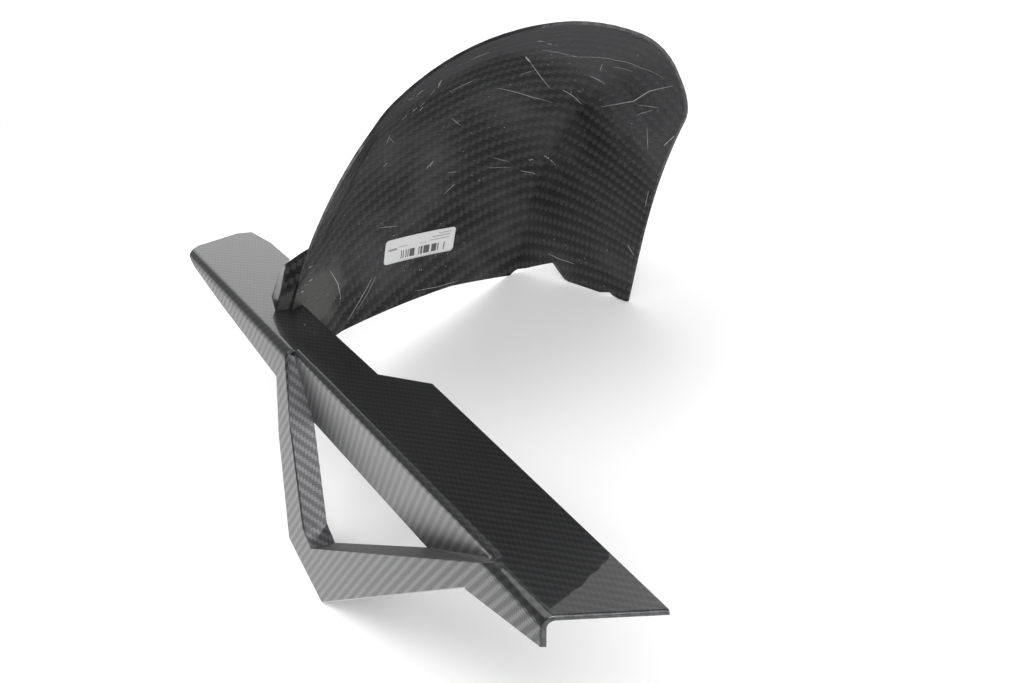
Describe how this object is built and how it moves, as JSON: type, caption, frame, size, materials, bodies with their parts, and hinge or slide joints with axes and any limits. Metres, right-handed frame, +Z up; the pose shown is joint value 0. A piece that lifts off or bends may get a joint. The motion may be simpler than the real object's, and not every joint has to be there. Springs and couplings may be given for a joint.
{
  "type": "motorcycle rear fender",
  "caption": "One-piece carbon rear hugger with a long chain guard and an open triangular fin, fixed to a motorcycle's swingarm close over the rear tyre.",
  "frame": {"origin": "centre of the front fixing boss's mouth, under the chain guard's top flange", "axes": "+Y forward along the chain guard, +Z up from the guard's top flange, +X to the right towards the tyre"},
  "size_m": [0.269, 0.653, 0.4021],
  "materials": {
    "carbon": "clear-coated carbon twill, bare and scuffed on the inside",
    "label": "matt paper label"
  },
  "bodies": {
    "root": {"fender": "carbon", "blank_label": "label"}
  },
  "joints": []
}
